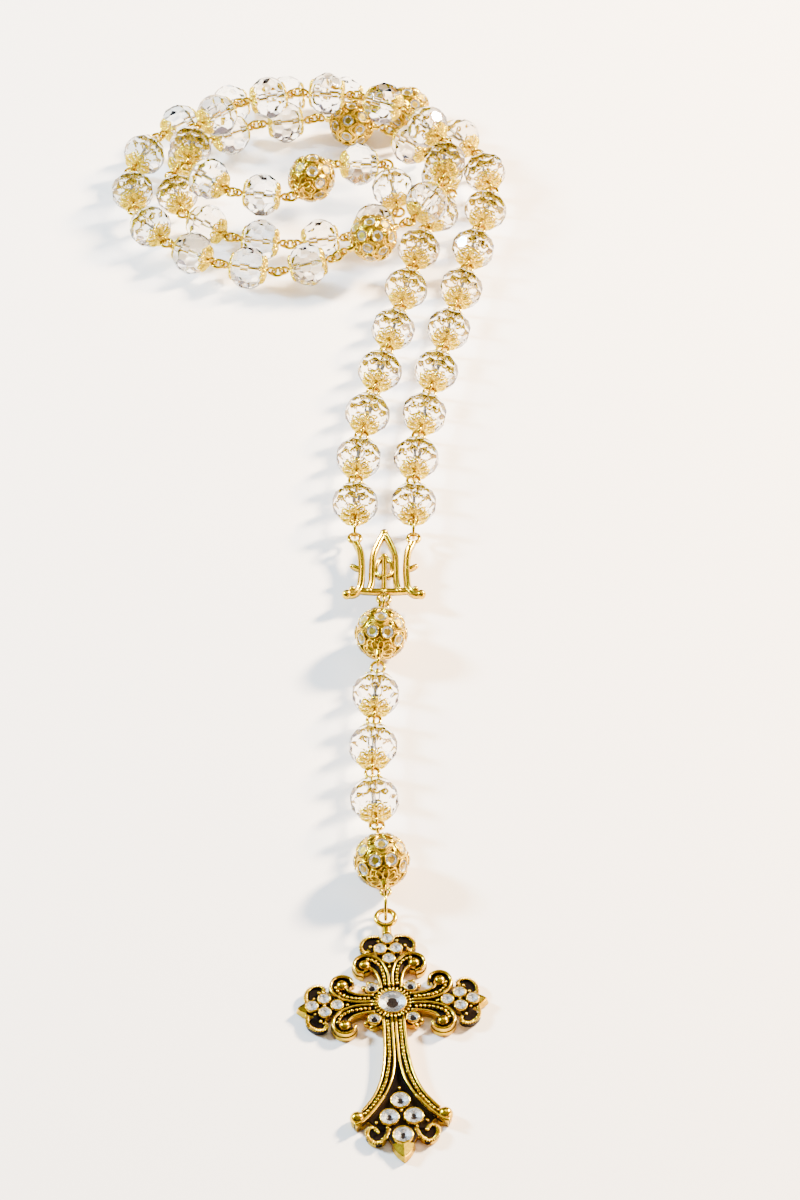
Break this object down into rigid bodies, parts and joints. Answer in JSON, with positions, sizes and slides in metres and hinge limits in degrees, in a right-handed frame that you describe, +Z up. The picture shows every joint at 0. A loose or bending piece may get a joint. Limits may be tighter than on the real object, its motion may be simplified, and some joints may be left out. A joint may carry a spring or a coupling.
{
  "type": "rosary",
  "caption": "Rosary of wire-linked faceted crystal beads and rhinestone balls with an openwork centrepiece and a jewelled cross, its loop gathered in a spiral.",
  "frame": {"origin": "middle of the outline of the rosary as it lies, on the surface it lies on", "axes": "+Z up from the surface, +Y from the cross towards the gathered loop, +X to the right as seen from the cross"},
  "size_m": [0.096, 0.3238, 0.0202],
  "materials": {
    "crystal": "clear faceted glass with a faint rainbow coating",
    "filigree_gold": "bright gold-plated stamped filigree",
    "gold_wire": "bright gold-plated round wire",
    "ball_gold": "gold plate, darker in the grooves",
    "rhinestone": "clear foil-backed cut stones",
    "middle_stone": "clear foil-backed cut stone",
    "centrepiece_gold": "antique gold casting, polished on its high parts",
    "antique_gold": "antique gold casting with black in its recesses"
  },
  "bodies": {
    "gathered_loop": {"decade_1_crystals": "crystal", "decade_2_crystals": "crystal", "decade_3_crystals": "crystal", "decade_4_crystals": "crystal", "decade_5_crystals": "crystal", "loop_caps": "filigree_gold", "loop_pins": "gold_wire", "loop_rings": "gold_wire", "loop_ball_shells": "ball_gold", "loop_ball_stones": "rhinestone"},
    "strands_row_3": {"left_pin_3": "gold_wire", "left_ring_3": "gold_wire", "right_pin_3": "gold_wire", "right_ring_3": "gold_wire"},
    "left_bead_3": {"left_crystal_3": "crystal", "left_caps_3": "filigree_gold"},
    "right_bead_3": {"right_crystal_3": "crystal", "right_caps_3": "filigree_gold"},
    "strands_row_2": {"left_pin_2": "gold_wire", "left_ring_2": "gold_wire", "right_pin_2": "gold_wire", "right_ring_2": "gold_wire"},
    "left_bead_2": {"left_crystal_2": "crystal", "left_caps_2": "filigree_gold"},
    "right_bead_2": {"right_crystal_2": "crystal", "right_caps_2": "filigree_gold"},
    "strands_row_1": {"left_pin_1": "gold_wire", "left_ring_1": "gold_wire", "right_pin_1": "gold_wire", "right_ring_1": "gold_wire"},
    "left_bead_1": {"left_crystal_1": "crystal", "left_caps_1": "filigree_gold"},
    "right_bead_1": {"right_crystal_1": "crystal", "right_caps_1": "filigree_gold"},
    "centrepiece": {"centrepiece": "centrepiece_gold"},
    "centrepiece_ring": {"centrepiece_ring": "gold_wire"},
    "drop_link_5": {"drop_ball_pin_5": "gold_wire"},
    "drop_bead_5": {"drop_ball_shell_5": "ball_gold", "drop_ball_stones_5": "rhinestone"},
    "drop_link_4": {"drop_pin_4": "gold_wire"},
    "drop_bead_4": {"drop_crystal_4": "crystal", "drop_caps_4": "filigree_gold"},
    "drop_ring_4": {"drop_ring_4": "gold_wire"},
    "drop_link_3": {"drop_pin_3": "gold_wire"},
    "drop_bead_3": {"drop_crystal_3": "crystal", "drop_caps_3": "filigree_gold"},
    "drop_ring_3": {"drop_ring_3": "gold_wire"},
    "drop_link_2": {"drop_pin_2": "gold_wire"},
    "drop_bead_2": {"drop_crystal_2": "crystal", "drop_caps_2": "filigree_gold"},
    "drop_ring_2": {"drop_ring_2": "gold_wire"},
    "drop_link_1": {"drop_ball_pin_1": "gold_wire"},
    "drop_bead_1": {"drop_ball_shell_1": "ball_gold", "drop_ball_stones_1": "rhinestone"},
    "drop_ring_1": {"drop_ring_1": "gold_wire"},
    "cross_ring": {"cross_ring": "gold_wire"},
    "cross": {"cross_casting": "antique_gold", "cross_middle_stone": "middle_stone", "cross_small_stones": "rhinestone"}
  },
  "joints": [
    {"name": "strands_row_3_lift", "type": "hinge", "parent": "gathered_loop", "child": "strands_row_3", "pos_m": [0.02231, 0.047, 0.005], "axis": [-1, 0, 0], "range_deg": [0, 30]},
    {"name": "left_bead_3_spin", "type": "hinge", "parent": "strands_row_3", "child": "left_bead_3", "pos_m": [0.01479, 0.04124, 0.005], "axis": [0.1736, 0.9848, 0], "continuous": true},
    {"name": "right_bead_3_spin", "type": "hinge", "parent": "strands_row_3", "child": "right_bead_3", "pos_m": [0.02779, 0.04124, 0.005], "axis": [0.1736, 0.9848, 0], "continuous": true},
    {"name": "strands_row_2_lift", "type": "hinge", "parent": "strands_row_3", "child": "strands_row_2", "pos_m": [0.01989, 0.03255, 0.005], "axis": [1, 0, 0], "range_deg": [-30, 0]},
    {"name": "left_bead_2_spin", "type": "hinge", "parent": "strands_row_2", "child": "left_bead_2", "pos_m": [0.01288, 0.02672, 0.005], "axis": [0.0872, 0.9962, 0], "continuous": true},
    {"name": "right_bead_2_spin", "type": "hinge", "parent": "strands_row_2", "child": "right_bead_2", "pos_m": [0.02588, 0.02672, 0.005], "axis": [0.0872, 0.9962, 0], "continuous": true},
    {"name": "strands_row_1_lift", "type": "hinge", "parent": "strands_row_2", "child": "strands_row_1", "pos_m": [0.01874, 0.01795, 0.005], "axis": [-1, 0, 0], "range_deg": [0, 30]},
    {"name": "left_bead_1_spin", "type": "hinge", "parent": "strands_row_1", "child": "left_bead_1", "pos_m": [0.01224, 0.0121, 0.005], "axis": [0, 1, 0], "continuous": true},
    {"name": "right_bead_1_spin", "type": "hinge", "parent": "strands_row_1", "child": "right_bead_1", "pos_m": [0.02524, 0.0121, 0.005], "axis": [0, 1, 0], "continuous": true},
    {"name": "centrepiece_lift", "type": "hinge", "parent": "strands_row_1", "child": "centrepiece", "pos_m": [0.01874, 0.00433, 0.0046], "axis": [1, 0, 0], "range_deg": [-40, 0]},
    {"name": "centrepiece_ring_turn", "type": "hinge", "parent": "centrepiece", "child": "centrepiece_ring", "pos_m": [0.01874, -0.01784, 0.0042], "axis": [0, 0, 1], "range_deg": [-22, 22]},
    {"name": "drop_link_5_lift", "type": "hinge", "parent": "centrepiece_ring", "child": "drop_link_5", "pos_m": [0.01874, -0.019, 0.005], "axis": [-1, 0, 0], "range_deg": [0, 35]},
    {"name": "drop_bead_5_spin", "type": "hinge", "parent": "drop_link_5", "child": "drop_bead_5", "pos_m": [0.01817, -0.02828, 0.0058], "axis": [0.0698, 0.9976, 0], "continuous": true},
    {"name": "drop_ring_4_lift", "type": "hinge", "parent": "drop_link_5", "child": "drop_ring_4", "pos_m": [0.01761, -0.03641, 0.0058], "axis": [0.9976, -0.0698, 0], "range_deg": [-45, 0]},
    {"name": "drop_link_4_turn", "type": "hinge", "parent": "drop_ring_4", "child": "drop_link_4", "pos_m": [0.01752, -0.03788, 0.0054], "axis": [0, 0, -1], "range_deg": [-45, 45]},
    {"name": "drop_bead_4_spin", "type": "hinge", "parent": "drop_link_4", "child": "drop_bead_4", "pos_m": [0.01712, -0.0452, 0.005], "axis": [0.0523, 0.9986, 0], "continuous": true},
    {"name": "drop_ring_3_lift", "type": "hinge", "parent": "drop_link_4", "child": "drop_ring_3", "pos_m": [0.01681, -0.05104, 0.005], "axis": [-0.9986, 0.0523, 0], "range_deg": [0, 45]},
    {"name": "drop_link_3_turn", "type": "hinge", "parent": "drop_ring_3", "child": "drop_link_3", "pos_m": [0.01676, -0.05251, 0.005], "axis": [0, 0, 1], "range_deg": [-45, 45]},
    {"name": "drop_bead_3_spin", "type": "hinge", "parent": "drop_link_3", "child": "drop_bead_3", "pos_m": [0.01661, -0.05983, 0.005], "axis": [0.0175, 0.9998, 0], "continuous": true},
    {"name": "drop_ring_2_lift", "type": "hinge", "parent": "drop_link_3", "child": "drop_ring_2", "pos_m": [0.01651, -0.06568, 0.005], "axis": [0.9998, -0.0175, 0], "range_deg": [-45, 0]},
    {"name": "drop_link_2_turn", "type": "hinge", "parent": "drop_ring_2", "child": "drop_link_2", "pos_m": [0.01655, -0.06716, 0.005], "axis": [0, 0, -1], "range_deg": [-45, 45]},
    {"name": "drop_bead_2_spin", "type": "hinge", "parent": "drop_link_2", "child": "drop_bead_2", "pos_m": [0.01699, -0.07447, 0.005], "axis": [-0.0698, 0.9976, 0], "continuous": true},
    {"name": "drop_ring_1_lift", "type": "hinge", "parent": "drop_link_2", "child": "drop_ring_1", "pos_m": [0.0174, -0.0803, 0.005], "axis": [-0.9976, -0.0698, 0], "range_deg": [0, 45]},
    {"name": "drop_link_1_turn", "type": "hinge", "parent": "drop_ring_1", "child": "drop_link_1", "pos_m": [0.01753, -0.08177, 0.0054], "axis": [0, 0, 1], "range_deg": [-45, 45]},
    {"name": "drop_bead_1_spin", "type": "hinge", "parent": "drop_link_1", "child": "drop_bead_1", "pos_m": [0.01851, -0.09135, 0.0058], "axis": [-0.1045, 0.9945, 0], "continuous": true},
    {"name": "cross_ring_lift", "type": "hinge", "parent": "drop_link_1", "child": "cross_ring", "pos_m": [0.01936, -0.09945, 0.0058], "axis": [-1, 0, 0], "range_deg": [0, 60]},
    {"name": "cross_turn", "type": "hinge", "parent": "cross_ring", "child": "cross", "pos_m": [0.01936, -0.10358, 0.0026], "axis": [0, 0, 1], "range_deg": [-45, 45]}
  ]
}
